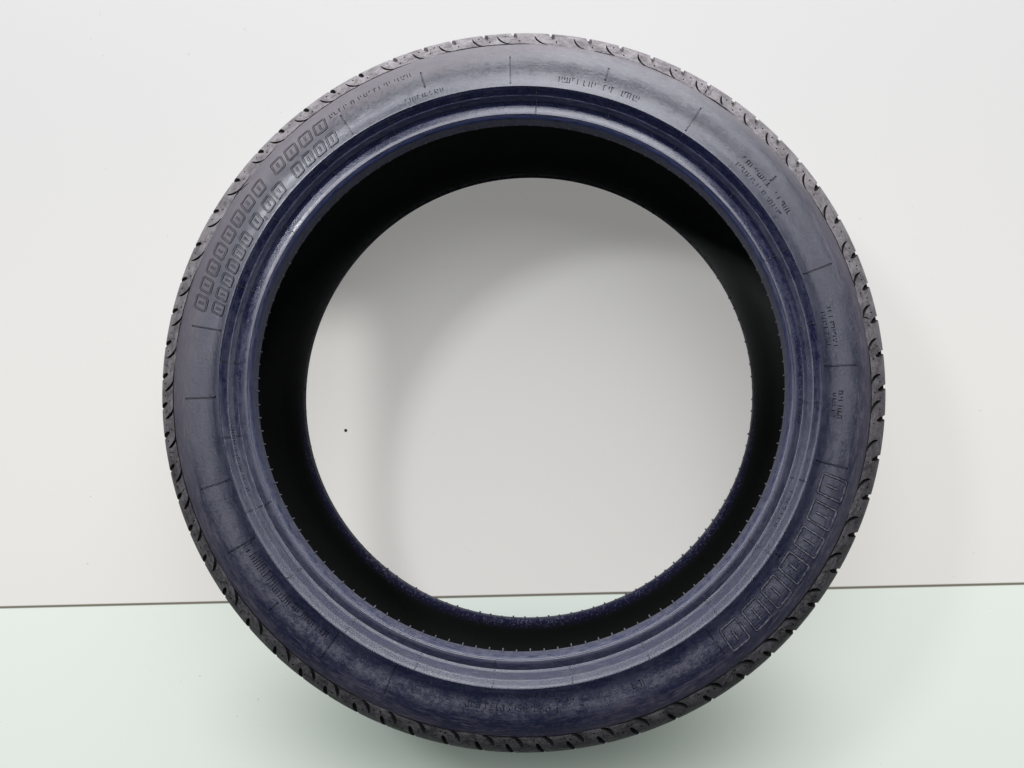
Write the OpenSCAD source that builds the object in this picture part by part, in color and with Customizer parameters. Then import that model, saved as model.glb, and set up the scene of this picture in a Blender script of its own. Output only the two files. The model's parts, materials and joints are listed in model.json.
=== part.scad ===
// A used low-profile car tyre, moulded in one piece, lying flat on its sidewall.
// The axis is Z and the origin is at the middle of the face that it lies on.

/* [Overall size] */
// Diameter over the worn tread, at the crown
overall_d = 710; // [704:1:716]
// Width across the two rim protectors
overall_w = 239; // [237:1:241]
// Width across the two sidewalls, just inside the rim protectors
section_w = 236.6; // [234:0.2:237]

/* [Beads] */
// Bore of the cylindrical land at each bead toe
toe_d = 506.4; // [505:0.1:508]
// Distance between the two bead toes
toe_gap = 176; // [172:1:180]
// Length of the cylindrical land at each toe
toe_land = 4; // [3:0.5:5]
// Width across the two bead ridges
bead_w = 213; // [210:1:216]
// Radius of the bead heel
heel_round = 5; // [4.5:0.5:7]
// Radius of the ramp's sharp edge, which the rim protector ends in
protector_r = 281.3; // [280:0.1:283]
// Width of the flat crest on each rim protector
crest_w = 3; // [2:0.5:4]

/* [Tread] */
// Radius of the crown across the tread
crown_arc = 800; // [600:50:1200]
// Depth left in the grooves round the tread
groove_depth = 3.2; // [1.6:0.2:4]
// Distance of the two inner grooves from the middle of the tread
inner_groove_z = 21; // [18:1:24]
// Distance of the two outer grooves from the middle of the tread
outer_groove_z = 59; // [55:1:62]
// Width of a groove at the tread surface
groove_w = 9; // [7:0.5:10]
// Width of a groove at its floor
groove_floor_w = 6.5; // [5:0.5:7]

/* [Shoulder slots] */
// Width of a slot
slot_w = 4.4; // [3:0.2:5]
// Depth of a slot
slot_depth = 3.5; // [1.5:0.1:3.5]
// Lean of a slot from straight across the tread, in degrees
slot_lean = 15; // [5:1:20]
// Angle of the first slot, clockwise from +Y
first_slot = 6.1; // [0:0.1:10]
// Share of a pitch by which the lower shoulder is turned from the upper one
lower_shift = 0.5; // [0:0.1:1]

/* [Casing] */
// Thickness at the middle of the tread
crown_t = 14.2; // [13:0.2:16]
// Thickness of the sidewall at its widest point
wall_t = 10.4; // [9:0.2:11]

/* [Hidden] */
$fn = 180;

crown_r = overall_d / 2;
mid_z = overall_w / 2;
half_section = section_w / 2;
toe_r = toe_d / 2;
toe_z = toe_gap / 2;
bead_z = bead_w / 2;

// The order of the short, middle and long pitches round the tread
pitch_order = "LMMMSSSSSSLLMMMMSLLLLLMSMLLLMSSSSMMSSMSMLLLMMSMSSMMMLLLLSMMMLMSMSL";
short_pitch = 4.8;
middle_pitch = 5.4;
long_pitch = 6.2;

// The outside of the crown and shoulder is a chain of arcs that run into each other.
// Each has a radius and ends where its normal stands at this angle from the radial.
crown_end = 5;
shoulder_arc = 100;
shoulder_end = 24;
edge_arc = 22;
edge_end = 65;
wall_arc = 60;
wall_end = 90;

// A point on a circle round c, and a run of them
function on_arc(c, r, a) = c + r * [cos(a), sin(a)];
function arc(c, r, from, to, steps) = [for (i = [1:steps]) on_arc(c, r, from + (to - from) * i / steps)];

crown_c = [crown_r - crown_arc, 0];
shoulder_c = on_arc(crown_c, crown_arc - shoulder_arc, crown_end);
edge_c = on_arc(shoulder_c, shoulder_arc - edge_arc, shoulder_end);
wall_c = on_arc(edge_c, edge_arc - wall_arc, edge_end);
wall_top = on_arc(wall_c, wall_arc, wall_end);

// Half of the outside, from the middle of the tread to the sidewall's widest point
crown_outline = concat(
    [[crown_r, 0]],
    arc(crown_c, crown_arc, 0, crown_end, 4),
    arc(shoulder_c, shoulder_arc, crown_end, shoulder_end, 6),
    arc(edge_c, edge_arc, shoulder_end, edge_end, 7),
    arc(wall_c, wall_arc, edge_end, wall_end, 6)
);

// How far the crown's arc has dropped at a distance from the middle of the tread
function crown_drop(at) = crown_arc - sqrt(pow(crown_arc, 2) - pow(at, 2));

// The shallow hollow of the lower sidewall, and the flare up to the rim protector
hollow_z = half_section - 1.2;
crest_out = protector_r + crest_w;
wall_outline = [
    [crest_out + 18, hollow_z + 0.8],
    [crest_out + 13, hollow_z + 0.2],
    [crest_out + 8, hollow_z],
    [crest_out + 4.5, hollow_z + 0.5],
    [crest_out + 1.8, hollow_z + 1.2],
    [crest_out, mid_z]
];

// The bead: a rounded ridge, the heel, a base that narrows towards the toe, the toe
base_taper = 0.8;
base_r = toe_r + base_taper;
ridge_r = base_r + heel_round;
heel_c = [ridge_r, bead_z - heel_round];
bead_outline = concat(
    [
        [ridge_r + 7.4, bead_z - 1.45],
        [ridge_r + 5, bead_z - 0.8],
        [ridge_r + 2.2, bead_z - 0.15]
    ],
    arc(heel_c, heel_round, 85, 180, 7),
    [
        [toe_r, toe_z + toe_land],
        [toe_r, toe_z],
        [toe_r + 0.9, toe_z - 0.9]
    ]
);

// The ramp that faces the rim flange, from the protector's sharp edge down to the valley.
// Its points are shares of the ramp's width and height.
valley = [ridge_r + 8.25, bead_z - 1.75];
ramp_top = [protector_r - 0.25, mid_z - 1.1];
ramp_shares = [[1, 1], [0.89, 0.93], [0.75, 0.77], [0.51, 0.505], [0.3, 0.28], [0.17, 0.13], [0.06, 0.03], [0, 0]];
ramp_size = ramp_top - valley;
ramp_outline = concat(
    [[protector_r, mid_z]],
    [for (share = ramp_shares) valley + [share[0] * ramp_size[0], share[1] * ramp_size[1]]]
);

// The inside of the casing, from the toe round to the middle of the crown
liner_r = crown_r - crown_t;
liner_z = wall_top[1] - wall_t;
liner_outline = [
    [toe_r + 3, toe_z - 1],
    [toe_r + 9, toe_z + 1.6],
    [toe_r + 17, liner_z - 13.2],
    [toe_r + 25, liner_z - 7.9],
    [toe_r + 33, liner_z - 4.1],
    [toe_r + 41, liner_z - 1.6],
    [toe_r + 49, liner_z - 0.2],
    [toe_r + 56, liner_z - 0.4],
    [toe_r + 63, liner_z - 2.1],
    [toe_r + 70, liner_z - 5.3],
    [liner_r - 11.4, liner_z - 10.2],
    [liner_r - 7.2, liner_z - 17],
    [liner_r - 4.2, liner_z - 26],
    [liner_r - 2.3, liner_z - 38],
    [liner_r - 1.1, liner_z - 55],
    [liner_r - 0.3, liner_z - 80],
    [liner_r, 0]
];

half_outline = concat(crown_outline, wall_outline, ramp_outline, bead_outline, liner_outline);

// Where the pitches start, clockwise from +Y
function pitch_size(letter) = letter == "S" ? short_pitch : letter == "M" ? middle_pitch : long_pitch;
function add_up(values, i) = i < 0 ? 0 : values[i] + add_up(values, i - 1);
pitch_count = len(pitch_order);
pitch_sizes = [for (i = [0:pitch_count - 1]) pitch_size(pitch_order[i])];
turn_scale = 360 / add_up(pitch_sizes, pitch_count - 1);
pitch_angles = [for (i = [0:pitch_count - 1]) first_slot + turn_scale * add_up(pitch_sizes, i - 1)];

// A slot's floor follows the shoulder, from its closed end to where it runs out.
// Past the shoulder arc, each step is an angle and the share of the depth that is left there.
slot_start_z = outer_groove_z + 11;
slot_pivot_z = 100;
slot_proud = 12;
slot_bend = 14;
slot_fade = [[38, 0.8], [52, 0.4], [64, -0.2]];
slot_back = 60;
slot_floor = concat(
    [[crown_r - crown_drop(slot_start_z) - slot_depth, slot_start_z]],
    [for (turn = [slot_bend, shoulder_end]) on_arc(shoulder_c, shoulder_arc - slot_depth, turn)],
    [for (step = slot_fade) on_arc(edge_c, edge_arc - slot_depth * step[1], step[0])]
);

// One side of the section, from the middle plane out
module half_section_shape() {
    difference() {
        polygon(half_outline);
        for (at = [inner_groove_z, outer_groove_z])
            translate([0, at])
                groove_shape();
    }
}

// The cut of one groove round the tread
module groove_shape() {
    floor_r = crown_r - groove_depth - crown_drop(outer_groove_z);
    polygon([
        [floor_r, -groove_floor_w / 2],
        [crown_r + 1, -groove_w / 2],
        [crown_r + 1, groove_w / 2],
        [floor_r, groove_floor_w / 2]
    ]);
}

// The whole turn of the casing: beads, sidewalls, crown and the grooves round it
module casing() {
    rotate_extrude()
        union() {
            half_section_shape();
            mirror([0, 1])
                half_section_shape();
        }
}

// One shoulder slot, cut at the angle 0
module slot() {
    outer_side = [
        on_arc(edge_c, edge_arc + slot_proud, slot_back),
        [crown_r + slot_proud, slot_start_z]
    ];
    translate([0, 0, slot_pivot_z])
        rotate([slot_lean, 0, 0])
            translate([0, 0, -slot_pivot_z])
                rotate([90, 0, 0])
                    linear_extrude(slot_w, center = true)
                        polygon(concat(slot_floor, outer_side));
}

// The slots of one shoulder, one to a pitch
module shoulder_slots(shift) {
    for (i = [0:pitch_count - 1])
        rotate(90 - pitch_angles[i] - shift * pitch_sizes[i])
            slot();
}

module tyre() {
    color([0.16, 0.16, 0.19])
        translate([0, 0, mid_z])
            difference() {
                casing();
                shoulder_slots(0);
                mirror([0, 0, 1])
                    shoulder_slots(lower_shift);
            }
}

tyre();
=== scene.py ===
# A used low-profile car tyre, lying on its sidewall and seen from above.
import bisect
import json
import math
import random

import bmesh
import bpy
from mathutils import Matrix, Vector, noise


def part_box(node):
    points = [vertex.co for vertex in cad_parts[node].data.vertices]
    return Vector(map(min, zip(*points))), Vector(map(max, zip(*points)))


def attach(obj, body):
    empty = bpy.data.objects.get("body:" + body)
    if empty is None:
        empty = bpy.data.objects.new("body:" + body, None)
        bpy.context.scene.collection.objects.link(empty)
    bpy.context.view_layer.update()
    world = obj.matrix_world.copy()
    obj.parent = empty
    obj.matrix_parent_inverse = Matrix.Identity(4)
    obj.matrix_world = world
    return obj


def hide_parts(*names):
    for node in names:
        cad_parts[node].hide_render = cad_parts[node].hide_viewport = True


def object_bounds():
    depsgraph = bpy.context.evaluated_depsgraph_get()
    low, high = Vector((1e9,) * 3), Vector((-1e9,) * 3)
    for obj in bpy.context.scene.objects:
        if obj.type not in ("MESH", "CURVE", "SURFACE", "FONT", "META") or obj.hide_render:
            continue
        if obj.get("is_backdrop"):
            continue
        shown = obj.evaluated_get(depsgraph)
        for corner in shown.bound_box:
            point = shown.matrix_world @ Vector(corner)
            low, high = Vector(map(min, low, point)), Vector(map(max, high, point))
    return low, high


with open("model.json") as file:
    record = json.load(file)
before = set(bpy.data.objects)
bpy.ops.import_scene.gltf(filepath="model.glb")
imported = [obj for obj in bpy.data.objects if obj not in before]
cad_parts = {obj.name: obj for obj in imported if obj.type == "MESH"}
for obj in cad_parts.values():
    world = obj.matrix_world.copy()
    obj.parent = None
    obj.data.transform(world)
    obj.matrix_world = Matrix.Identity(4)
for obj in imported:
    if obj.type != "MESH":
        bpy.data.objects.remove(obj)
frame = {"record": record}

cad_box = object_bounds()

MM = 0.001

# Sizes that the frame gives
low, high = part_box("tyre")
mounts = {mount["name"]: mount for mount in frame["record"]["mounts"]}
CROWN_R = (high[0] - low[0]) / 2 / MM
MID_Z = (high[2] - low[2]) / 2 / MM
TOE_R = mounts["bead_upper"]["dims"]["r_mm"]
LAND = mounts["bead_upper"]["dims"]["length_mm"]
TOE_Z = mounts["bead_upper"]["pos_m"][2] / MM - MID_Z - LAND / 2

# Sizes of the section, in millimetres, as the casing is turned
BEAD_Z = 106.5
HEEL_ROUND = 5
BASE_R = TOE_R + 0.8
PROTECTOR_R = 281.3
CREST_W = 3
HALF_SECTION = 118.3
CROWN_T = 14.2
WALL_T = 10.4
ARCS = ((800, 5, 5), (100, 24, 6), (22, 65, 9), (60, 90, 8))
GROOVE_DEPTH = 3.2
GROOVE_W = 9
GROOVE_FLOOR_W = 6.5
GROOVES = (21, 59)
SEAM_R = 326
SEAT_R = 256.3

COLUMNS = 240
FIRST_SLOT = 6.1
LOWER_SHIFT = 0.5
SLOT_LEAN = 15
# The slots past these angles, in degrees clockwise from +Y, take the near-black finish as painted shade; the
# slots near the lit top keep the tread's finish
DARK_SLOTS_FROM, DARK_SLOTS_TO = 56, 336
PITCHES = "LMMMSSSSSSLLMMMMSLLLLLMSMLLLMSSSSMMSSMSMLLLMMSMSSMMMLLLLSMMMLMSMSL"
PITCH_SIZES = {"S": 4.8, "M": 5.4, "L": 6.2}

# The casing's finishes, by slot, and which one a face takes where two of them meet
# The last finish is near-black, for recesses: painted shade, and dirt.
WALL, TREAD, SEAT, LINING, SHADE_AND_DIRT = range(5)
FIRST_FINISH = (TREAD, SEAT, WALL, LINING)

chance = random.Random(20)


# ---------------------------------------------------------------- the section

def on_arc(centre, radius, angle):
    turn = math.radians(angle)
    return (centre[0] + radius * math.cos(turn), centre[1] + radius * math.sin(turn))


def arc(centre, radius, start, end, steps):
    """Points after the start of an arc, up to its end."""
    return [on_arc(centre, radius, start + (end - start) * i / steps) for i in range(1, steps + 1)]


def smooth_run(points, steps):
    """A smooth curve through the points, each stretch cut into steps."""
    padded = [points[0], *points, points[-1]]
    run = [points[0]]
    for before, start, end, after in zip(padded, padded[1:], padded[2:], padded[3:]):
        for i in range(1, steps + 1):
            t = i / steps
            run.append(tuple(between(*values, t) for values in zip(before, start, end, after)))
    return run


def between(a, b, c, d, t):
    """The smooth value that is a share t of the way from b to c."""
    squared = (2 * a - 5 * b + 4 * c - d) * t ** 2
    cubed = (3 * b - a - 3 * c + d) * t ** 3
    return 0.5 * (2 * b + (c - a) * t + squared + cubed)


def bead_run():
    """From the toe over the base and heel to the bead ridge."""
    heel = (BASE_R + HEEL_ROUND, BEAD_Z - HEEL_ROUND)
    toe = [(TOE_R + 0.9, TOE_Z - 0.9), (TOE_R + 0.25, TOE_Z - 0.5), (TOE_R, TOE_Z), (TOE_R, TOE_Z + LAND)]
    crease = [(BASE_R + 3.75, BEAD_Z - 0.7), (BASE_R + 4.0, BEAD_Z - 0.6)]
    return toe + [on_arc(heel, HEEL_ROUND, 180)] + arc(heel, HEEL_ROUND, 180, 109, 7) + crease + arc(
        heel, HEEL_ROUND, 102, 88, 2)


def flange_run():
    """From the bead ridge down to the valley and up the ramp to the rim protector."""
    ridge = BASE_R + HEEL_ROUND
    valley_r = ridge + 8.25
    valley_z = BEAD_Z - 1.75
    flank = smooth_run([(ridge + 0.5, BEAD_Z), (ridge + 2.2, BEAD_Z - 0.15), (ridge + 5, BEAD_Z - 0.8),
                        (ridge + 7.4, BEAD_Z - 1.45), (valley_r - 0.15, valley_z + 0.05)], 2)
    foot = [(valley_r, valley_z), (valley_r + 0.25, valley_z + 0.08), (valley_r + 0.8, valley_z + 0.4),
            (valley_r + 1.5, valley_z + 0.95)]
    lower = smooth_run([(valley_r + 2.3, valley_z + 1.75), (valley_r + 4.2, valley_z + 3.8),
                        (valley_r + 7, valley_z + 6.9)], 2)
    rib = [(valley_r + 7.3, valley_z + 7.3), (valley_r + 7.7, valley_z + 7.55)]
    upper = smooth_run([(valley_r + 8, valley_z + 7.75), (valley_r + 10.4, valley_z + 10.5),
                        (valley_r + 12.3, valley_z + 12.7), (PROTECTOR_R - 0.25, MID_Z - 1.1)], 2)
    edge = [(PROTECTOR_R, MID_Z - 0.4), (PROTECTOR_R + 0.2, MID_Z - 0.25)]
    return flank[1:] + foot + lower + rib + upper + edge


def wall_run():
    """From the rim protector's crest out to the sidewall's widest point."""
    crest = PROTECTOR_R + CREST_W
    hollow = HALF_SECTION - 1.1
    return smooth_run([(PROTECTOR_R + 0.7, MID_Z - 0.3), (PROTECTOR_R + 2, MID_Z - 0.55),
                       (crest + 1, MID_Z - 1.0), (crest + 4.5, hollow + 0.5), (crest + 8.5, hollow + 0.1),
                       (crest + 13, hollow + 0.2), (crest + 18, hollow + 0.75)], 2)


def shoulder_run():
    """From the sidewall's widest point over the shoulder to the middle of the tread, grooves and all."""
    centre = (CROWN_R - ARCS[0][0], 0)
    start = 0
    run = [(CROWN_R, 0)]
    for i, (radius, end, steps) in enumerate(ARCS):
        run += arc(centre, radius, start, end, steps)
        start = end
        if i + 1 < len(ARCS):
            centre = on_arc(centre, radius - ARCS[i + 1][0], end)
    run = cut_grooves(run)
    return with_seam(run[::-1])


def cut_grooves(run):
    """Puts the grooves round the tread into the crown's points."""
    cut = []
    for start, end in zip(run, run[1:]):
        cut.append(start)
        for at in GROOVES:
            if start[1] < at <= end[1]:
                cut += groove_points(at)
    cut.append(run[-1])
    clear = [p for p in cut if len(p) == 3 or all(abs(p[1] - at) > GROOVE_W / 2 + 0.5 for at in GROOVES)]
    return [p[:2] for p in clear]


def groove_points(at):
    top = CROWN_R - at ** 2 / (2 * ARCS[0][0])
    shape = [(-GROOVE_W / 2, 0), (-GROOVE_W / 2 + 0.4, 0.5), (-GROOVE_FLOOR_W / 2, GROOVE_DEPTH - 0.4),
             (-GROOVE_FLOOR_W / 2 + 0.8, GROOVE_DEPTH)]
    mirrored = [(-z, depth) for z, depth in reversed(shape)]
    return [(top - depth, at + z, True) for z, depth in shape + mirrored]


def with_seam(run):
    """Puts the fine step into the shoulder where the tread rubber ends on the sidewall."""
    out = []
    for start, end in zip(run, run[1:]):
        out.append(start)
        if start[0] < SEAM_R <= end[0]:
            z = start[1] + (end[1] - start[1]) * (SEAM_R - start[0]) / (end[0] - start[0])
            out += [(SEAM_R - 0.5, z + 0.12), (SEAM_R - 0.1, z - 0.25), (SEAM_R + 0.5, z - 0.2)]
    out.append(run[-1])
    return out


def liner_run():
    """The inside of the casing, from the toe round to the middle of the crown."""
    inside = CROWN_R - CROWN_T
    deep = HALF_SECTION - WALL_T
    return smooth_run([(TOE_R + 3, TOE_Z - 1), (TOE_R + 9, TOE_Z + 1.6), (TOE_R + 17, deep - 13.2),
                       (TOE_R + 25, deep - 7.9), (TOE_R + 33, deep - 4.1), (TOE_R + 49, deep - 0.2),
                       (TOE_R + 63, deep - 2.1), (inside - 11.4, deep - 10.2), (inside - 7.2, deep - 17),
                       (inside - 4.2, deep - 26), (inside - 2.3, deep - 38), (inside - 1.1, deep - 55),
                       (inside, 0)], 1)


SKIN = bead_run() + flange_run() + wall_run() + shoulder_run()
LINER = liner_run()


# ------------------------------------------------------- places on the skin

LENGTHS = [0.0]
for here, there in zip(SKIN, SKIN[1:]):
    LENGTHS.append(LENGTHS[-1] + math.dist(here, there))


def side(radius):
    """How far along the skin from the toe the side has this radius."""
    for i in range(3, len(SKIN) - 1):
        if SKIN[i][0] <= radius < SKIN[i + 1][0]:
            share = (radius - SKIN[i][0]) / (SKIN[i + 1][0] - SKIN[i][0])
            return LENGTHS[i] + share * (LENGTHS[i + 1] - LENGTHS[i])
    return LENGTHS[-1]


def tread(height):
    """How far along the skin from the toe the tread is this far from its middle."""
    i = next(i for i in range(len(SKIN) - 2, 0, -1) if SKIN[i][1] >= height)
    return LENGTHS[i] + (SKIN[i][1] - height)


def skin_at(length):
    """Radius, height and outward normal at this length along the skin."""
    last = len(SKIN) - 2
    i = min(max(bisect.bisect_right(LENGTHS, length) - 1, 0), last)
    share = (length - LENGTHS[i]) / (LENGTHS[i + 1] - LENGTHS[i])
    start, end = SKIN[i], SKIN[i + 1]
    before, after = SKIN[max(i - 2, 0)], SKIN[min(i + 3, last + 1)]
    along = Vector((after[0] - before[0], after[1] - before[1])).normalized()
    r = start[0] + share * (end[0] - start[0])
    z = start[1] + share * (end[1] - start[1])
    return r, z, -along.y, along.x


def waver(phi, r, z):
    """How far the moulded sidewall stands off its true shape here."""
    share = min(max((r - 286) / 8, 0), 1) * min(max((328 - r) / 8, 0), 1) * (abs(z) > 60)
    turn = math.radians(phi)
    slow = noise.noise(Vector((6 * math.sin(turn), 6 * math.cos(turn), r / 40)))
    fast = noise.noise(Vector((19 * math.sin(turn), 19 * math.cos(turn), r / 18)))
    return share * (0.20 * slow + 0.12 * fast - 0.1)


def on_skin(phi, length, lower=False):
    """The place and outward normal of the skin, phi degrees clockwise from +Y."""
    r, z, out_r, out_z = skin_at(length)
    off = waver(phi, r, z)
    r, z = r + off * out_r, z + off * out_z
    flip = -1 if lower else 1
    x, y = math.sin(math.radians(phi)), math.cos(math.radians(phi))
    place = Vector((r * x, r * y, MID_Z + flip * z)) * MM
    return place, Vector((out_r * x, out_r * y, flip * out_z))


def eased(value, start, end):
    """From 0 to 1 as the value goes from start to end, with soft ends."""
    share = min(max((value - start) / (end - start), 0), 1)
    return share * share * (3 - 2 * share)


def out_of_round(phi, r, z):
    """How far the tyre has sprung or worn from a true circle here."""
    turn = math.radians(phi)

    def swing(amount, times, at):
        return amount * math.cos(times * (turn - math.radians(at)))

    far_bead = eased(-z, 20, 75) * (1 - eased(r, 262, 305))
    near_bead = eased(z, 40, 85) * (1 - eased(r, 258, 275))
    shoulder = eased(r, 300, 322) * eased(abs(z), 75, 100)
    worn = eased(r, 328, 342) * eased(abs(z), 55, 90)
    return (far_bead * (1.1 + swing(1.25, 1, 37) + swing(2, 2, 77)) + near_bead * (0.4 + swing(0.6, 1, 112))
            + shoulder * (-0.35 + swing(1.45, 1, 177) + swing(0.9, 2, -88) + swing(0.7, 3, 5)) - worn * 1.2)


def settle(thing):
    """Puts a finished piece out of round with the rest of the tyre."""
    for point in thing.data.vertices:
        x, y, z = point.co / MM
        r = math.hypot(x, y)
        grown = 1 + out_of_round(math.degrees(math.atan2(x, y)), r, z - MID_Z) / r
        point.co = Vector((x * grown, y * grown, z)) * MM


def pitch_places():
    """The angle and size of each pitch round the tread."""
    scale = 360 / sum(PITCH_SIZES[letter] for letter in PITCHES)
    phi = FIRST_SLOT
    for letter in PITCHES:
        size = PITCH_SIZES[letter] * scale
        yield phi, size
        phi += size


# ---------------------------------------------------------------- mesh making

class Stock:
    """Points and faces that are gathered for one piece."""

    def __init__(self):
        self.points = []
        self.faces = []

    def tube(self, rings, closed=False):
        """Joins rings of points into a closed bar, or a closed loop."""
        base = len(self.points)
        around = len(rings[0])
        for ring in rings:
            self.points += ring
        spans = len(rings) if closed else len(rings) - 1
        for i in range(spans):
            a, b = base + i * around, base + (i + 1) % len(rings) * around
            for j in range(around):
                k = (j + 1) % around
                self.faces.append((a + j, a + k, b + k, b + j))
        if not closed:
            self.faces.append(tuple(range(base, base + around))[::-1])
            self.faces.append(tuple(range(base + spans * around, base + (spans + 1) * around)))

    def ribbon(self, path, width, root, reach, taper=0.7, closed=False, lower=False):
        """A strip along a path of angle and length on the skin, standing from root to reach."""
        widths = width if isinstance(width, list) else [width] * len(path)
        reaches = reach if isinstance(reach, list) else [reach] * len(path)
        spots = [on_skin(phi, length, lower) for phi, length in path]
        rings = []
        for i, (place, normal) in enumerate(spots):
            before = spots[i - 1][0] if i or closed else place
            after = spots[(i + 1) % len(spots)][0] if i + 1 < len(spots) or closed else place
            across = normal.cross((after - before).normalized()) * widths[i] / 2 * MM
            down, up = normal * root * MM, normal * reaches[i] * MM
            rings.append([place - across + down, place + across + down,
                          place + across * taper + up, place - across * taper + up])
        self.tube(rings, closed)

    def mark(self, trench, path, width, closed=False, lower=False):
        """A raised line of this width, or the shallow trench that it stands in."""
        if trench:
            self.ribbon(path, width + 0.9, 0.7, -0.55, 0.75, closed, lower)
        else:
            self.ribbon(path, width, -0.9, 0.7, 0.55, closed, lower)

    def pin(self, phi, length, radius, root, reach, sides=8, stretch=1.0, lower=False):
        """A small round boss or pit on the skin."""
        place, normal = on_skin(phi, length, lower)
        along = (on_skin(phi, length + 1, lower)[0] - place).normalized()
        across = normal.cross(along)
        rings = []
        for height, share in ((root, 1.0), (reach, 0.75)):
            turns = [2 * math.pi * i / sides for i in range(sides)]
            rings.append([place + normal * height * MM + share * radius * MM
                          * (across * math.cos(a) + along * stretch * math.sin(a)) for a in turns])
        self.tube(rings)

    def piece(self, name, *finishes):
        """Turns the stock into an object with its faces looking outwards."""
        mesh = bpy.data.meshes.new(name)
        mesh.from_pydata(self.points, [], self.faces)
        shape = bmesh.new()
        shape.from_mesh(mesh)
        bmesh.ops.recalc_face_normals(shape, faces=shape.faces)
        shape.to_mesh(mesh)
        shape.free()
        for finish in finishes:
            mesh.materials.append(finish)
        thing = bpy.data.objects.new(name, mesh)
        bpy.context.scene.collection.objects.link(thing)
        return thing


def soften(thing, angle=32):
    """Smooth shading that keeps the sharp edges."""
    thing.data.shade_smooth()
    thing.data.set_sharp_from_angle(angle=math.radians(angle))


def cut_away(thing, stock, finish):
    """Takes the stock out of the thing, and leaves this finish on the cut."""
    cutter = stock.piece("cutter", *thing.data.materials)
    for face in cutter.data.polygons:
        face.material_index = finish
    change = thing.modifiers.new("cut", "BOOLEAN")
    change.operation = "DIFFERENCE"
    change.solver = "MANIFOLD"
    change.material_mode = "INDEX"
    change.object = cutter
    shown = thing.evaluated_get(bpy.context.evaluated_depsgraph_get())
    mesh = bpy.data.meshes.new_from_object(shown)
    thing.modifiers.remove(change)
    thing.data = mesh
    bpy.data.objects.remove(cutter)


# ---------------------------------------------------------------- the casing

def outer_finish(i, radius):
    """The finish of the skin at this point of the section."""
    if i < 2:
        return LINING
    if radius > SEAM_R - 0.3:
        return TREAD
    return SEAT if radius < SEAT_R else WALL


def turned_casing(*finishes):
    """The casing before its shoulders are cut, turned from the section."""
    outside = [(r, z, outer_finish(i, r)) for i, (r, z) in enumerate(SKIN)]
    inside = [(r, z, LINING) for r, z in LINER]
    half = outside[::-1] + inside
    lower = [(r, -z, finish) for r, z, finish in inside[-2::-1] + outside[:-1]]
    loop = half + lower
    casing = Stock()
    for i in range(COLUMNS):
        turn = 2 * math.pi * i / COLUMNS
        ring = []
        for r, z, finish in loop:
            off = 0 if finish == LINING else waver(math.degrees(turn), r, z)
            ring.append(Vector(((r + 0.3 * off) * math.sin(turn), (r + 0.3 * off) * math.cos(turn),
                                MID_Z + z + math.copysign(off, z))) * MM)
        casing.points += ring
    count = len(loop)
    for i in range(COLUMNS):
        a, b = i * count, (i + 1) % COLUMNS * count
        for j in range(count):
            k = (j + 1) % count
            casing.faces.append((a + j, a + k, b + k, b + j))
    piece = casing.piece("tyre_casing", *finishes)
    for face in piece.data.polygons:
        row = face.index % count
        here, there = loop[row][2], loop[(row + 1) % count][2]
        face.material_index = min(here, there, key=FIRST_FINISH.index)
    return piece


def shoulder_slots(lower, dark_finish):
    """The wide slots that run over a shoulder, one to a pitch, either clean or near-black with painted shade.
    """
    slots = Stock()
    shift = LOWER_SHIFT if lower else 0
    lengths = [side(333.2), side(334.6), side(337), side(340), side(343.5), side(347), side(350), tread(84),
               tread(70)]
    widths = [1.8, 3.4, 4.6, 4.9, 4.7, 4.4, 4.2, 4.0, 3.6]
    depths = [-0.5, -2.2, -3.8, -4.8, -5.0, -4.8, -4.4, -3.6, -2.8]
    lean = math.degrees(math.tan(math.radians(SLOT_LEAN)) / 345)
    bend = side(343.5)
    leans = [lean * (side(338) - min(length, bend) - 0.3 * max(length - bend, 0)) for length in lengths]
    for phi, size in pitch_places():
        if (DARK_SLOTS_FROM < phi < DARK_SLOTS_TO) == dark_finish:
            middle = phi + shift * size
            path = [(middle + off, length) for off, length in zip(leans, lengths)]
            slots.ribbon(path, widths, 1.2, depths, taper=0.78, lower=lower)
    return slots


HOOK = ((-0.47, 337.4), (-0.452, 334.8), (-0.42, 332.4), (-0.37, 330.2), (-0.305, 328.4), (-0.23, 327.1),
        (-0.12, 326.2))


def shoulder_hooks(lower):
    """The hooked grooves that curl down to the sidewall, and the small pits between them."""
    hooks = Stock()
    shift = LOWER_SHIFT if lower else 0
    widths = [0.9, 2.1, 3.0, 3.2, 2.9, 2.2, 1.2]
    depths = [-0.6, -2.2, -2.8, -2.8, -2.3, -1.5, -0.7]
    for phi, size in pitch_places():
        middle = phi + shift * size
        worn = 1.05 - 0.4 * math.cos(math.radians(phi))
        path = [(middle + share * size, side(radius)) for share, radius in HOOK]
        hooks.ribbon(path, [worn * width for width in widths], 0.7, depths, taper=0.55, lower=lower)
        hooks.pin(middle + 0.13 * size, side(329.8), 0.9, 0.5, -1.0, 6, 1.2, lower)
        for share in (-0.25, 0.31):
            if chance.random() < 0.6:
                hooks.pin(middle + share * size, side(336.2), 0.95, 0.5, -1.1, 6, 1.5, lower)
    return hooks


def shoulder_pits():
    """The many small stone pits in the shoulder on the side that has worn most."""
    pits = Stock()
    for i in range(90):
        phi = chance.uniform(140, 245)
        pits.pin(phi, side(chance.uniform(328.5, 347)), chance.uniform(0.5, 1.1), 0.5,
                 -chance.uniform(0.5, 1.1), 6, chance.uniform(0.8, 1.7))
    return pits


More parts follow.
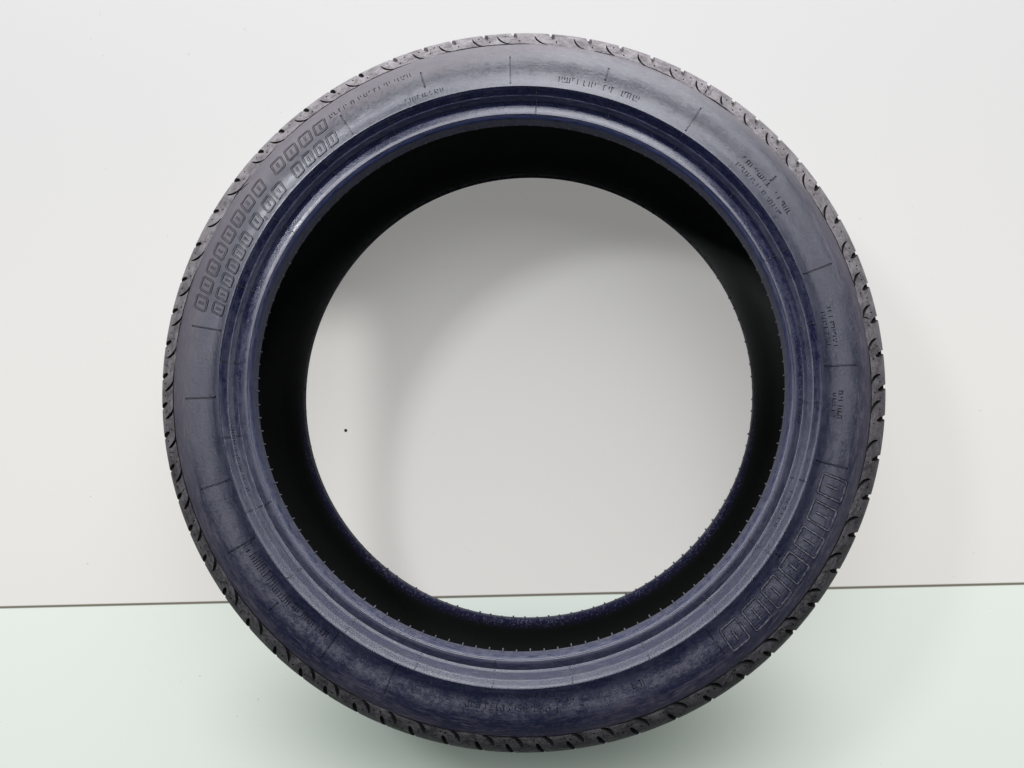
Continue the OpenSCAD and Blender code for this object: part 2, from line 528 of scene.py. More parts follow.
# (start, end, depth) of the stretches where the seam gapes, in degrees clockwise from +Y
SEAM_GAPS = ((-12, 3, 0.6), (13.4, 16.8, 1.0), (22, 28.5, 0.7), (33.2, 39.5, 1.5), (58, 76, 0.3),
             (84, 110, 0.5), (112, 140, 1.1), (142, 165, 1.3), (169, 186, 0.9), (188, 201, 1.3),
             (205, 236, 1.2), (238, 273.5, 1.0), (275, 290, 0.6), (302.3, 308, 1.4), (311.4, 314.2, 1.1),
             (316, 342, 0.35))


def seam_gaps():
    """The dark stretches of the seam between tread and sidewall."""
    gaps = Stock()
    for start, end, depth in SEAM_GAPS:
        steps = max(int((end - start) / 1.2), 3)
        path, widths, depths = [], [], []
        for i in range(steps + 1):
            share = i / steps
            swell = min(share, 1 - share) * steps / 2
            full = min(swell, 1)
            path.append((start + (end - start) * share, side(SEAM_R + chance.uniform(-0.15, 0.15))))
            widths.append(0.35 + full * (0.4 + 0.5 * depth))
            depths.append(-0.3 - full * depth)
        gaps.ribbon(path, widths, 0.4, depths, taper=0.4)
    return gaps


def cuts_and_tears():
    """The cuts that wear has left in the shoulder: a deep one with its flap, and smaller ones."""
    cuts = Stock()
    deep = [(33.5, side(326.4)), (33.35, side(329)), (33.4, side(333)), (33.3, side(338)), (33.1, side(343))]
    cuts.ribbon(deep, [0.6, 1.4, 1.6, 1.3, 0.5], 0.8, [-0.6, -2.2, -2.4, -1.6, -0.4], taper=0.4)
    cuts.ribbon([(79.75, side(325.6)), (79.9, side(329)), (80.2, side(332.6))],
                [0.8, 1.6, 1.3], 0.8, [-0.8, -1.8, -1.5], taper=0.4)
    cuts.ribbon([(258.45, side(330)), (258.6, side(334)), (258.8, side(338.5))],
                [0.5, 1.2, 0.5], 0.8, [-0.5, -1.5, -0.4], taper=0.4)
    cuts.ribbon([(305, side(325.2)), (306, side(324)), (306.9, side(322.4))],
                [1.0, 1.2, 0.4], 0.6, [-1.2, -1.0, -0.3], taper=0.4)
    return cuts


def tread_sipes():
    """The narrow cuts across the ribs of the worn tread."""
    sipes = Stock()
    for phi, size in pitch_places():
        for start, end, lean in ((-13, 13, 1.6), (28, 52, -1.5), (-52, -28, -1.5)):
            path = []
            for i in range(3):
                height = start + (end - start) * i / 2
                swing = lean * (i / 2 - 0.5)
                path.append((phi + 0.3 * size + swing, height))
            flip = start < -20
            steps = [(angle, tread(abs(height))) for angle, height in path]
            if start == -13:
                half = [(path[1][0], tread(0.3)), (path[2][0], tread(13))]
                sipes.ribbon(half, 0.9, 0.8, [-1.8, -1.5], taper=0.6)
                half = [(path[1][0], tread(0.3)), (path[0][0], tread(13))]
                sipes.ribbon(half, 0.9, 0.8, [-1.8, -1.5], taper=0.6, lower=True)
            else:
                sipes.ribbon(steps, [1.1, 1.1, 1.1], 0.8, [-1.6, -2.0, -1.6], taper=0.6, lower=flip)
    return sipes


# ------------------------------------------------------ what stands on the skin

def block_outline(start, wide, bottom, top, lean):
    """The corners of a leaning block, with its corners cut."""
    corners = []
    cut_phi, cut_r = min(0.18, wide / 4), 1.1
    for phi, radius, toward in ((start, bottom, 1), (start + wide, bottom, -1), (start + wide, top, -1),
                                (start, top, 1)):
        shift = lean * (radius - bottom) / (top - bottom)
        inward = cut_r if radius == bottom else -cut_r
        near = [(phi + shift + toward * cut_phi, radius), (phi + shift, radius + inward)]
        corners += near[::-1] if (toward == 1) == (radius == bottom) else near
    return corners


def outlined_block(stock, trench, start, wide, bottom, top, lean, line):
    """A raised line round a leaning block, or the trench that it stands in."""
    corners = block_outline(start, wide, bottom, top, lean)
    path = []
    for (phi, radius), (next_phi, next_radius) in zip(corners, corners[1:] + corners[:1]):
        long_side = abs(radius - next_radius) > 3 or abs(phi - next_phi) > 1
        steps = 3 if long_side else 1
        for i in range(steps):
            here = radius + (next_radius - radius) * i / steps
            path.append((phi + (next_phi - phi) * i / steps, side(here)))
    stock.mark(trench, path, line, closed=True)


def row_of_blocks(stock, trench, start, end, bottom, top, wide, gap, lean, line):
    """A row of equal outlined blocks with a bar inside each."""
    count = round((end - start + gap) / (wide + gap))
    step = (end - start + gap) / count
    inset = 0.26 * (top - bottom)
    for i in range(count):
        phi = start + i * step
        outlined_block(stock, trench, phi, step - gap, bottom, top, lean, line)
        middle = phi + (step - gap) / 2
        ends = [(middle + 0.26 * lean, side(bottom + inset)), (middle + 0.74 * lean, side(top - inset))]
        stock.mark(trench, ends, line)


# (start, end, lowest radius, highest radius) of the rows of small raised ticks
TICK_ROWS = ((8.3, 12, 288, 293.6), (13, 15.2, 288, 293.6), (16.8, 18.8, 288, 293.6),
             (20.4, 24.6, 288, 293.6), (45.7, 52.4, 296.6, 300.6), (54.3, 58.4, 296.6, 300.6),
             (45.7, 53.4, 288.6, 292.6), (54.3, 58.4, 288.6, 292.6), (77, 84.6, 295, 298.4),
             (77.6, 84, 288.6, 292), (92, 97.4, 296.6, 300.4), (92.4, 96.8, 291.4, 294.4),
             (325.1, 341.2, 310.6, 315), (338.6, 346.8, 286.6, 290.6), (157, 159.2, 295, 300.4),
             (169.6, 173, 292, 295.6), (174, 177.6, 299.4, 302.4), (173, 183.4, 286.4, 290),
             (178, 189.4, 296.4, 301.6), (216.6, 224.8, 290, 296.4), (225.6, 240, 289, 298.6),
             (82, 98.4, 263, 265.4), (112, 119.4, 272.4, 274.4), (247, 261.8, 272.6, 274.4))


def row_of_ticks(stock, start, end, bottom, top):
    """A row of short sunk ticks in groups, where small moulded marks would be."""
    phi = start
    tall = top - bottom
    while phi < end:
        foot = bottom + chance.choice((0, 0, 0.5)) * tall
        stock.ribbon([(phi, side(foot)), (phi, side(top))], 0.9, 0.6, -0.6, taper=0.7)
        if chance.random() < 0.5:
            level = side(chance.choice((bottom + 0.3, top - 0.3)))
            stock.ribbon([(phi, level), (phi + 0.4, level)], 0.8, 0.6, -0.55, taper=0.7)
        phi += chance.choice((0.5, 0.5, 0.62, 1.0))


# (angle, lowest radius, highest radius) of the fine radial lines on the sidewall
MOULD_LINES = ((16.7, 298.5, 310.5), (34.3, 285, 311), (52, 303, 309), (69.8, 284.8, 311.2),
               (87.5, 284.8, 312), (105, 284.8, 312), (123.7, 285, 289), (142.6, 284.8, 311),
               (172.7, 301, 304), (202.8, 284.8, 311), (215.1, 284.8, 312), (227.1, 303, 311.5),
               (239.2, 284.8, 312), (251.2, 284.8, 312),
               (267.2, 284.8, 312.5), (280, 284.8, 312.5), (303.4, 284.6, 288), (326.8, 284.6, 306.4),
               (343, 296, 311), (359.1, 284.6, 311))
BAND_LINE_FIRST = 4.2
BAND_LINE_STEP = 15
NIBS = 122


def mould_lines(stock, trench, lower=False):
    """The fine radial lines that the mould's vents leave."""
    for phi, bottom, top in MOULD_LINES:
        steps = [bottom + (top - bottom) * i / 6 for i in range(7)]
        stock.mark(trench, [(phi, side(r)) for r in steps], 0.8, lower=lower)


def band_lines(stock, trench, lower=False):
    """The short lines across the rim protector and the bead, at equal steps round the tyre."""
    for i in range(360 // BAND_LINE_STEP):
        phi = BAND_LINE_FIRST + BAND_LINE_STEP * i
        bow = [(phi + 0.12, 281), (phi, 279.6), (phi, 277.5), (phi, 275.8)]
        stock.mark(trench, [(a, side(r)) for a, r in bow], 0.8, lower=lower)
        stock.mark(trench, [(phi + 0.05, side(r)) for r in (271.6, 270.4, 269, 267.8)], 0.9, lower=lower)
        if i % 4 == 0:
            stock.mark(trench, [(phi, side(r)) for r in (266, 264, 262, 260, 258.4)], 0.9, lower=lower)


def vent_holes(stock, lower=False):
    """The small pits at the ends of the mould lines."""
    for phi, bottom, top in MOULD_LINES:
        for radius in (bottom, top):
            stock.pin(phi, side(radius), 1.0, 0.5, -1.3, lower=lower)
    for i in range(0, 360 // BAND_LINE_STEP, 4):
        stock.pin(BAND_LINE_FIRST + BAND_LINE_STEP * i, side(261.8), 1.1, 0.5, -1.2, lower=lower)


def toe_nibs(stock, lower=False):
    """The small tabs of flash, evenly spaced round the bead toe."""
    stout = 1.6 if lower else 1.0
    for i in range(NIBS):
        phi = 360 * i / NIBS + chance.uniform(-0.12, 0.12)
        proud = chance.uniform(1.8, 3.0)
        if lower:
            proud *= 1.1
        else:
            proud *= 0.62 - 0.42 * math.cos(math.radians(phi))
        path = [(phi, LENGTHS[2] - 0.2), (phi, LENGTHS[2] + 1.6), (phi, LENGTHS[3] + 2.5)]
        widths = [1.3 * stout, 1.5 * stout, 1.0 * stout]
        stock.ribbon(path, widths, -0.4, [proud, 0.8 * proud, 0.3], taper=0.8, lower=lower)


def large_rows(stock, trench):
    """The row of large plain blocks."""
    row_of_blocks(stock, trench, 106.8, 140.8, 293.6, 314.8, 3.5, 1.5, 0.4, 2.0)


def small_rows(stock, trench):
    """The rows of small plain blocks, one above the other."""
    for start, end in ((282.9, 308.1), (311.1, 323.6)):
        row_of_blocks(stock, trench, start, end, 304, 315.6, 2.2, 1.0, 0.4, 1.5)
    for start, end in ((282.8, 298.8), (300.6, 302.8), (304.6, 310), (313.2, 323.8)):
        row_of_blocks(stock, trench, start, end, 286.8, 297.8, 2.0, 0.9, 0.4, 1.5)


def large_marks(rubbed):
    """The large blocks and the band lines that stand on the sidewall, rubbed pale."""
    marks = Stock()
    large_rows(marks, trench=False)
    band_lines(marks, trench=False)
    return soft_piece(marks, "large_marks", rubbed)


def small_marks(rubber):
    """The small blocks and mould lines that stand on the sidewall that is seen."""
    marks = Stock()
    small_rows(marks, trench=False)
    mould_lines(marks, trench=False)
    return soft_piece(marks, "small_marks", rubber)


def lower_marks(rubber):
    """The mould lines and band lines of the sidewall that the tyre lies on."""
    marks = Stock()
    mould_lines(marks, trench=False, lower=True)
    band_lines(marks, trench=False, lower=True)
    return soft_piece(marks, "lower_marks", rubber)


def clean_trenches():
    """The trenches round the mould lines and band lines of both sidewalls."""
    sunk = Stock()
    for lower in (False, True):
        mould_lines(sunk, trench=True, lower=lower)
        band_lines(sunk, trench=True, lower=lower)
    return sunk


def shaded_sunk_marks():
    """The trenches round the blocks, the small ticks and the vent holes, which all take the near-black
    finish: painted shade, and dirt.
    """
    sunk = Stock()
    large_rows(sunk, trench=True)
    small_rows(sunk, trench=True)
    for row in TICK_ROWS:
        row_of_ticks(sunk, *row)
    vent_holes(sunk)
    vent_holes(sunk, lower=True)
    return sunk


def bead_flash(name, rubber, lower):
    """The ring of flash tabs on the toe of one bead."""
    flash = Stock()
    toe_nibs(flash, lower)
    return soft_piece(flash, name, rubber)


def wear_bars(rubber):
    """The low bars across the grooves that show how far the tread has worn."""
    bars = Stock()
    for i in range(6):
        for at in GROOVES:
            for lower in (False, True):
                level = tread(at)
                path = [(60 * i + 12 + share, level) for share in (-1.2, -0.6, 0, 0.6, 1.2)]
                heights = [0.6, 1.5, 1.6, 1.5, 0.6]
                bars.ribbon(path, GROOVE_FLOOR_W + 0.9, -0.4, heights, taper=1.08, lower=lower)
    return soft_piece(bars, "wear_bars", rubber)


def torn_flap(rubber):
    """The small flap of rubber that has lifted beside the deep cut."""
    flap = Stock()
    edge = [(34.1, side(328)), (34.0, side(331)), (33.9, side(335)), (33.75, side(339)), (33.6, side(342.5))]
    flap.ribbon(edge, [1.2, 2.6, 3.0, 2.2, 0.8], -0.5, [0.2, 0.9, 1.3, 1.0, 0.2], taper=0.55)
    flap.ribbon([(34.6, side(327.4)), (36, side(327.2)), (37.6, side(327.1)), (39.2, side(327.2))],
                [0.8, 1.4, 1.2, 0.6], -0.4, [0.1, 0.5, 0.45, 0.1], taper=0.5)
    return soft_piece(flap, "torn_flap", rubber)


def soft_piece(stock, name, rubber):
    piece = stock.piece(name, rubber)
    soften(piece)
    return piece


# ---------------------------------------------------------------- shader maths

class Field:
    """A number or vector that changes over the surface, written as arithmetic."""

    def __init__(self, finish, socket):
        self.finish = finish
        self.socket = socket

    def math(self, operation, *others):
        values = {0: self, **{i + 1: other for i, other in enumerate(others)}}
        return self.finish.node("ShaderNodeMath", {"operation": operation}, values)[0]

    def __add__(self, other):
        return self.math("ADD", other)

    def __sub__(self, other):
        return self.math("SUBTRACT", other)

    def __mul__(self, other):
        return self.math("MULTIPLY", other)

    def __truediv__(self, other):
        return self.math("DIVIDE", other)

    def __rsub__(self, other):
        return self * -1 + other

    __radd__ = __add__
    __rmul__ = __mul__


class Finish:
    """A material and the nodes that make it."""

    def __init__(self, name):
        self.material = bpy.data.materials.new(name)
        self.material.use_nodes = True
        self.nodes = self.material.node_tree.nodes
        self.links = self.material.node_tree.links
        self.nodes.clear()

    def node(self, kind, settings=None, values=None):
        """A node of this kind, with its settings made first and its sockets filled after."""
        node = self.nodes.new(kind)
        for key, setting in (settings or {}).items():
            setattr(node, key, setting)
        for key, value in (values or {}).items():
            if isinstance(value, Field):
                self.links.new(value.socket, node.inputs[key])
            else:
                node.inputs[key].default_value = value
        return Outlets(self, node)

    def place(self):
        """The point on the object, in metres."""
        return self.node("ShaderNodeTexCoord")["Object"]

    def parts(self, vector):
        split = self.node("ShaderNodeSeparateXYZ", None, {0: vector})
        return split["X"], split["Y"], split["Z"]

    def vector(self, x, y, z):
        return self.node("ShaderNodeCombineXYZ", None, {0: x, 1: y, 2: z})[0]

    def noise(self, place, scale, detail=3.0, rough=0.55, warp=0.0):
        values = {"Vector": place, "Scale": scale, "Detail": detail, "Roughness": rough, "Distortion": warp}
        return self.node("ShaderNodeTexNoise", None, values)["Fac"]

    def ramp(self, value, low, high, start=0.0, end=1.0):
        """From start to end as the value goes from low to high, eased."""
        values = {"Value": value, "From Min": low, "From Max": high, "To Min": start, "To Max": end}
        return self.node("ShaderNodeMapRange", {"interpolation_type": "SMOOTHSTEP"}, values)["Result"]

    def blend(self, share, one, other):
        """One colour going over to the other."""
        values = {"Factor": share, "A": one, "B": other}
        mix = self.node("ShaderNodeMix", {"data_type": "RGBA"})
        for key, value in values.items():
            socket = next(s for s in mix.node.inputs
                          if s.name == key and s.type in ("RGBA", "VALUE") and s.enabled)
            if isinstance(value, Field):
                self.links.new(value.socket, socket)
            else:
                socket.default_value = value
        return Field(self, next(s for s in mix.node.outputs if s.enabled and s.type == "RGBA"))

    def bump(self, height, distance, strength=1.0, before=None):
        values = {"Height": height, "Distance": distance, "Strength": strength}
        if before is not None:
            values["Normal"] = before
        return self.node("ShaderNodeBump", None, values)["Normal"]

    def surface(self, **values):
        """Ends the material in a plain shader with these values on its sockets."""
        values = {key.replace("_", " "): value for key, value in values.items()}
        shader = self.node("ShaderNodeBsdfPrincipled", None, values)
        self.node("ShaderNodeOutputMaterial", None, {"Surface": shader["BSDF"]})
        return self.material


class Outlets:
    """A node's outputs, by name or number."""

    def __init__(self, finish, node):
        self.finish = finish
        self.node = node

    def __getitem__(self, key):
        return Field(self.finish, self.node.outputs[key])


# ---------------------------------------------------------------- finishes

def round_the_axis(finish, place):
    """Distance from the axis, and a point that changes fast across the tyre and slowly round it."""
    x, y, z = finish.parts(place)
    radius = (x * x + y * y).math("SQRT")
    return radius, finish.vector(x / radius * 0.03, y / radius * 0.03, radius), finish.vector(
        x / radius * 0.12, y / radius * 0.12, radius)


def wall_rubber():
    """Dark rubber with a navy bloom, thin dust in its hollow, shinier at the bead; pinkish near the tread and
    paler towards +Y as painted light and dust, with a painted highlight on the bead's near crest and painted
    light on the bead's sides.
    """
    finish = Finish("wall_rubber")
    place = finish.place()
    radius, rings, strokes = round_the_axis(finish, place)
    streaks = finish.noise(rings, 170, 4, 0.65)
    scuffs = finish.noise(strokes, 330, 4, 0.7)
    cloud = finish.noise(place, 9, 4, 0.6)
    grain = finish.noise(place, 420, 4, 0.75)
    blotch = finish.noise(place, 60, 5, 0.7)
    lines = finish.noise(rings, 800, 2, 0.5)
    patches = finish.noise(place, 260, 5, 0.8)

    x, y, _ = finish.parts(place)
    drift = finish.ramp((y - x) / radius, 0.5, 1.3)
    edge = finish.ramp(radius + (cloud - 0.5) * 0.016 + drift * 0.015, 0.312, 0.327)
    dust_and_light = dust_and_light_side(finish, place, radius)
    # Painted light and dust: the band by the tread is paler and pinker towards +Y, where the light comes
    # from.
    edge_colour = finish.blend(dust_and_light, (0.024, 0.024, 0.044, 1), (0.080, 0.058, 0.074, 1))
    hollow = finish.ramp(radius, 0.288, 0.297) * (1 - finish.ramp(radius, 0.303, 0.312))
    bead = 1 - finish.ramp(radius, 0.2795, 0.2825)
    chafed = finish.ramp(radius, 0.2695, 0.2712) * (1 - finish.ramp(radius, 0.2740, 0.2758))
    settled = streaks * 0.3 + scuffs * 0.25 + cloud * 0.2 + blotch * 0.25 + hollow * 0.03
    dust = finish.ramp(settled, 0.43, 0.60)
    haze = finish.ramp(patches * 0.6 + blotch * 0.4, 0.47, 0.58) * hollow
    bead_dust = finish.ramp(streaks * 0.45 + scuffs * 0.35 + blotch * 0.2, 0.40, 0.58)
    across = x / radius
    sideways = finish.ramp(across * across, 0.45, 0.95)
    near = finish.ramp(y / radius, 0.3, -0.5)
    # Painted highlight: a paler ring on the bead's crest, on the near side only.
    crest = finish.ramp(radius, 0.2566, 0.2578) * (1 - finish.ramp(radius, 0.2608, 0.2622)) * near
    fine = finish.ramp(lines, 0.54, 0.64) * bead
    ringed = finish.ramp(streaks * 0.4 + lines * 0.6, 0.50, 0.62) * finish.ramp(radius, 0.303, 0.314)
    specks = finish.ramp(grain, 0.55, 0.66)

    wall = finish.blend(dust, (0.004, 0.007, 0.028, 1), (0.020, 0.021, 0.050, 1))
    wall = finish.blend(haze * 0.22, wall, (0.058, 0.054, 0.066, 1))
    wall = finish.blend(edge * 0.8, wall, edge_colour)
    wall = finish.blend(ringed * 0.5, wall, (0.090, 0.074, 0.090, 1))
    bead_colour = finish.blend(bead_dust, (0.003, 0.005, 0.036, 1), (0.010, 0.015, 0.060, 1))
    # Painted light: the bead's dust streaks are paler on its left and right sides, where more light would
    # reach them.
    bead_colour = finish.blend(sideways * bead_dust * 0.8, bead_colour, (0.044, 0.046, 0.080, 1))
    # The painted highlight on the near crest.
    bead_colour = finish.blend(crest * 0.6, bead_colour, (0.070, 0.075, 0.130, 1))
    bead_colour = finish.blend(fine * 0.35, bead_colour, (0.080, 0.084, 0.130, 1))
    bead_colour = finish.blend(near * grain * 0.28, bead_colour, (0.075, 0.069, 0.060, 1))
    colour = finish.blend(bead, wall, bead_colour)
    colour = finish.blend(specks * 0.4, colour, (0.062, 0.062, 0.088, 1))

    inner = (1 - finish.ramp(radius, 0.2595, 0.2622)) * (1 - near)
    worn = edge * 0.2 + chafed * 0.30 + haze * 0.2 + near * bead * 0.20 + inner * 0.13
    worn = worn + sideways * (1 - bead) * 0.10
    rough = 0.30 + dust * 0.11 - bead * 0.07 + worn + (grain - 0.5) * (near * bead * 0.4 + 0.25)
    normal = finish.bump(grain * (chafed * 0.75 + near * bead * 0.4 + 0.3 - bead * 0.17), 0.0012, 0.5)
    normal = finish.bump(scuffs * (chafed * 0.7 + 0.3 - bead * 0.15), 0.0012, 0.5, normal)
    normal = finish.bump(streaks, 0.0009, 0.15, normal)
    return finish.surface(Base_Color=colour, Roughness=rough, Normal=normal, IOR=1.9)


def dust_and_light_side(finish, place, radius):
    """Grows from 0 to 1 towards +Y, where the light comes from; the rubber is painted paler there, as painted
    light and thicker dust.
    """
    return finish.ramp(finish.parts(place)[1] / radius, -0.7, 1.0)


def seat_rubber():
    """The dull, bluish rubber of the bead's base, with fine marks across it from the rim, painted paler on
    the near side and a deeper blue on the far side as painted light and shade.
    """
    finish = Finish("seat_rubber")
    place = finish.place()
    x, y, z = finish.parts(place)
    radius = round_the_axis(finish, place)[0]
    scrapes = finish.noise(finish.vector(x / radius, y / radius, z * 0.6), 260, 4, 0.7)
    lines = finish.noise(finish.vector(x / radius * 0.03, y / radius * 0.03, radius + z), 900, 2, 0.5)
    blotch = finish.noise(place, 90, 4, 0.7)
    wear = finish.ramp(scrapes * 0.55 + blotch * 0.45, 0.38, 0.64)
    upper = finish.ramp(z, 0.05, 0.07)
    near = finish.ramp(y / radius, 0.1, -0.6)
    far = finish.ramp(y / radius, 0.3, 0.85)
    pale = finish.blend(wear, (0.020, 0.028, 0.085, 1), (0.052, 0.060, 0.110, 1))
    # Painted light and shade: the scrapes are painted paler on the near side, where light falls on the seat,
    # and the far side, in shade, a deeper blue.
    pale = finish.blend(near * wear, pale, (0.105, 0.108, 0.145, 1))
    pale = finish.blend(far * 0.7, pale, (0.034, 0.050, 0.170, 1))
    pale = finish.blend(finish.ramp(lines, 0.50, 0.62), pale, (0.010, 0.014, 0.050, 1))
    colour = finish.blend(upper, (0.010, 0.011, 0.026, 1), pale)
    normal = finish.bump(scrapes, 0.0007, 0.6)
    return finish.surface(Base_Color=colour, Roughness=0.5 + wear * 0.12, Normal=normal, IOR=1.55)


def rubbed_rubber():
    """The paler tops of the large raised marks."""
    finish = Finish("rubbed_rubber")
    place = finish.place()
    grain = finish.noise(place, 300, 4, 0.7)
    colour = finish.blend(finish.ramp(grain, 0.35, 0.65), (0.020, 0.022, 0.042, 1), (0.118, 0.119, 0.150, 1))
    normal = finish.bump(grain, 0.0005, 0.5)
    return finish.surface(Base_Color=colour, Roughness=0.42 + grain * 0.1, Normal=normal, IOR=1.8)


def tread_rubber():
    """The harder rubber of the tread, faintly pink with patchy dust, paler towards +Y as painted light and
    thicker dust, and rough.
    """
    finish = Finish("tread_rubber")
    place = finish.place()
    radius, _, strokes = round_the_axis(finish, place)
    scuffs = finish.noise(strokes, 330, 4, 0.7)
    grain = finish.noise(place, 420, 4, 0.75)
    blotch = finish.noise(place, 60, 5, 0.7)
    dust = finish.ramp(blotch * 0.4 + grain * 0.3 + scuffs * 0.3, 0.38, 0.63)
    near = dust_and_light_side(finish, place, radius)
    # Painted light and dust: the bare and the dusted rubber are both paler towards +Y, where the light comes
    # from.
    bare = finish.blend(near, (0.020, 0.019, 0.023, 1), (0.100, 0.089, 0.094, 1))
    dusted = finish.blend(near, (0.140, 0.132, 0.139, 1), (0.310, 0.285, 0.293, 1))
    colour = finish.blend(dust, bare, dusted)
    normal = finish.bump(grain, 0.0011, 0.6)
    normal = finish.bump(blotch, 0.0014, 0.35, normal)
    return finish.surface(Base_Color=colour, Roughness=0.6 + (grain - 0.5) * 0.3, Normal=normal, IOR=1.4)


def liner_rubber():
    """The dark inside of the casing, painted paler on its far side as painted light, with the fine ribs of
    the curing bag.
    """
    finish = Finish("liner_rubber")
    place = finish.place()
    x, y, z = finish.parts(place)
    radius = round_the_axis(finish, place)[0]
    cloud = finish.noise(place, 14, 4, 0.6)
    spokes = finish.noise(finish.vector(x / radius, y / radius, z * 0.4), 200, 3, 0.6)
    flecks = finish.noise(place, 420, 4, 0.8)
    toe = (1 - finish.ramp(radius, 0.2560, 0.2665)) * finish.ramp(y * -1, -0.02, 0.12)
    chalk = finish.ramp(flecks * 0.8 + cloud * 0.2, 0.52, 0.62) * toe
    # Painted light: the lining is painted greyer towards +Y, its far side, for the light that reaches it
    # there.
    dull = finish.blend(finish.ramp(y, -0.06, 0.26), (0.0105, 0.011, 0.0105, 1), (0.110, 0.116, 0.108, 1))
    colour = finish.blend(toe, dull, (0.010, 0.010, 0.036, 1))
    colour = finish.blend(chalk, colour, (0.110, 0.110, 0.170, 1))
    normal = finish.bump(spokes, 0.0006, 0.6)
    return finish.surface(Base_Color=colour, Roughness=0.62 + cloud * 0.15, Normal=normal, IOR=1.3)


def dirty_groove():
    """The dark, dull inside of cuts and grooves: painted shade, and the dirt they hold."""
    finish = Finish("dirty_groove")
    place = finish.place()
    grit = finish.noise(place, 300, 3, 0.6)
    colour = finish.blend(grit, (0.004, 0.004, 0.005, 1), (0.020, 0.019, 0.019, 1))
    return finish.surface(Base_Color=colour, Roughness=0.75 + grit * 0.1, IOR=1.4)


def pale_floor():
    """A pale sheet: warm white, then faintly green past a thin joint, with painted shade and light round the
    tyre, and a glow that only the camera sees.
    """
    finish = Finish("pale_floor")
    x, y, z = finish.parts(finish.place())
    past = x * 0.031 - y
    green = finish.ramp(past, 0.2285, 0.2315)
    joint = finish.ramp((past - 0.230).math("ABSOLUTE"), 0.0006, 0.0022, 0.0, 1.0)
    # Painted shade: the sheet is darker towards +Y, where the lamps are nearer, and paler and warmer towards
    # the joint, which evens out their light.
    shade = finish.ramp(past, -0.5, 0.225)
    white = finish.blend(shade, (0.685, 0.680, 0.670, 1), (0.80, 0.785, 0.745, 1))
    colour = finish.blend(green, white, (0.80, 0.86, 0.79, 1))
    colour = finish.blend(joint, (0.19, 0.175, 0.14, 1), colour)
    grit = finish.ramp(finish.noise(finish.place(), 130, 3, 0.6), 0.735, 0.76)
    colour = finish.blend(grit * 0.5, colour, (0.30, 0.28, 0.25, 1))
    spot_x, spot_y = x + 0.213, y + 0.040
    spot = (spot_x * spot_x + spot_y * spot_y).math("SQRT")
    colour = finish.blend(finish.ramp(spot, 0.0014, 0.0024), (0.02, 0.02, 0.02, 1), colour)
    # Painted shadow: the floor's colour darkens to a greenish grey by the tyre's near edge.
    across = x * 0.36
    away = (across * across + (y + 0.375) * (y + 0.375)).math("SQRT")
    open_floor = finish.ramp(away, -0.01, 0.15)
    colour = finish.blend(open_floor, (0.27, 0.33, 0.29, 1), colour)
    matt = {"Base Color": colour, "Roughness": 0.9, "Specular IOR Level": 0.0}
    bright = {"Base Color": (0, 0, 0, 1), "Specular IOR Level": 0.0, "Emission Color": colour,
              "Emission Strength": 1.1}
    sheet = finish.node("ShaderNodeBsdfPrincipled", None, matt)
    glow = finish.node("ShaderNodeBsdfPrincipled", None, bright)
    # The camera alone sees a glow in the floor's colour, and its share paints light and shade: less inside
    # the ring keeps the tyre's shadow there, more on the ring's left is a painted pool of light, and less by
    # the tyre's near edge keeps the painted shadow.
    within = (x * x + y * y).math("SQRT")
    lit_side = finish.ramp(x * -1, 0.15, 0.22) * (1 - finish.ramp(y, 0.05, 0.14))
    share = finish.ramp(within, 0.25, 0.36, lit_side * 0.35 + 0.29, 0.60) * (open_floor * 0.65 + 0.35)
    seen = finish.node("ShaderNodeLightPath")["Is Camera Ray"]
    mixed = finish.node("ShaderNodeMixShader", None, {0: seen * share, 1: sheet["BSDF"], 2: glow["BSDF"]})
    finish.node("ShaderNodeOutputMaterial", None, {"Surface": mixed[0]})
    return finish.material


# ---------------------------------------------------------------- the tyre

def worn_tyre(*finishes):
    """The casing with its slots, hooks, seam, cuts, sipes and sunk marks taken out."""
    tyre = turned_casing(*finishes)
    for lower in (False, True):
        # Slots away from the lit top get the near-black finish as painted shade; the hooks here and the seam
        # gaps, cuts, pits, sipes and sunk marks below get it as painted shade and dirt.
        cut_away(tyre, shoulder_slots(lower, dark_finish=False), TREAD)
        cut_away(tyre, shoulder_slots(lower, dark_finish=True), SHADE_AND_DIRT)
        cut_away(tyre, shoulder_hooks(lower), SHADE_AND_DIRT)
    cut_away(tyre, clean_trenches(), WALL)
    for taken in (seam_gaps(), cuts_and_tears(), shoulder_pits(), tread_sipes(), shaded_sunk_marks()):
        cut_away(tyre, taken, SHADE_AND_DIRT)
    soften(tyre)
    return tyre


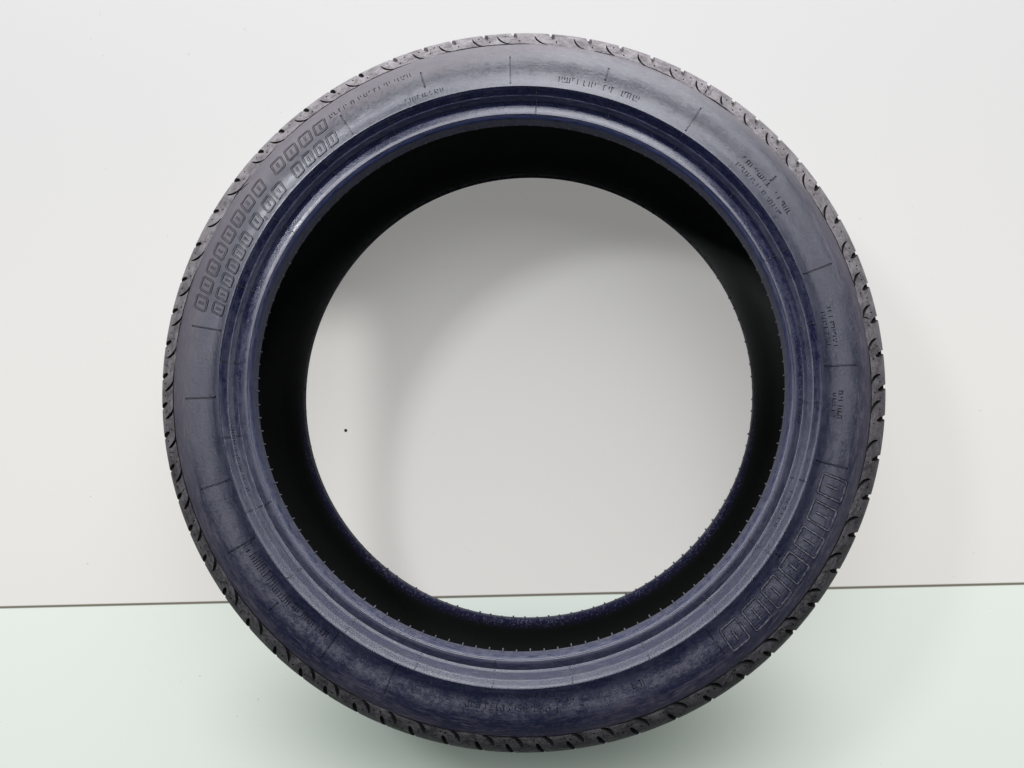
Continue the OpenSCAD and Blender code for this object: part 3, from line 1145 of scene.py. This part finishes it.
def floor_sheet():
    """The flat floor under the tyre, which is a stage piece."""
    mesh = bpy.data.meshes.new("floor")
    half = 6.0
    corners = [(-half, -half, 0), (half, -half, 0), (half, half, 0), (-half, half, 0)]
    mesh.from_pydata(corners, [], [(0, 1, 2, 3)])
    mesh.materials.append(pale_floor())
    floor = bpy.data.objects.new("floor", mesh)
    bpy.context.scene.collection.objects.link(floor)
    floor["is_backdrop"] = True


def soft_lamp(name, place, aim, wide, tall, watts, colour):
    """A large soft lamp that faces the point it is aimed at."""
    lamp = bpy.data.lights.new(name, "AREA")
    lamp.shape = "RECTANGLE"
    lamp.size, lamp.size_y = wide, tall
    lamp.energy = watts
    lamp.color = colour
    thing = bpy.data.objects.new(name, lamp)
    thing.location = place
    thing.rotation_euler = (Vector(aim) - Vector(place)).to_track_quat("-Z", "Y").to_euler()
    bpy.context.scene.collection.objects.link(thing)


def light_the_scene():
    middle = (0, 0, MID_Z * MM)
    cool = (0.95, 0.96, 1.0)
    soft_lamp("skylight", (0.22, 1.42, 1.85), middle, 1.4, 2.1, 43, cool)
    soft_lamp("low_strip", (0, 1.75, 0.72), middle, 4.6, 0.9, 42, cool)
    soft_lamp("window", (-1.2, 1.05, 2.3), middle, 0.35, 0.35, 25, cool)
    world = bpy.data.worlds.new("studio")
    world.use_nodes = True
    world.node_tree.nodes["Background"].inputs["Color"].default_value = (0.85, 0.92, 1.0, 1)
    world.node_tree.nodes["Background"].inputs["Strength"].default_value = 0.05
    bpy.context.scene.world = world


def place_camera():
    """Nearly along the tyre's axis, from a little right of the middle and below it."""
    lens = bpy.data.cameras.new("camera")
    lens.sensor_width = 36
    lens.lens = 35.16
    lens.clip_start = 0.05
    camera = bpy.data.objects.new("camera", lens)
    camera.location = (0.0511, -0.0682, MID_Z * MM + 1.0467)
    camera.rotation_euler = (math.radians(4.03), math.radians(3.33), 0)
    bpy.context.scene.collection.objects.link(camera)
    bpy.context.scene.camera = camera


place_camera()
wall = wall_rubber()
outer = tread_rubber()
seat = seat_rubber()
tyre = worn_tyre(wall, outer, seat, liner_rubber(), dirty_groove())
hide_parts("tyre")
rubbed = rubbed_rubber()
for piece in (tyre, large_marks(rubbed), small_marks(wall), lower_marks(wall),
              bead_flash("upper_flash", rubbed, lower=False), bead_flash("lower_flash", wall, lower=True),
              wear_bars(outer), torn_flap(outer)):
    settle(piece)
    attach(piece, "root")
floor_sheet()
light_the_scene()
bpy.context.scene.view_settings.view_transform = "Standard"

for box in (cad_box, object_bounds()):
    json.dumps([list(corner) for corner in box]) + "\n"
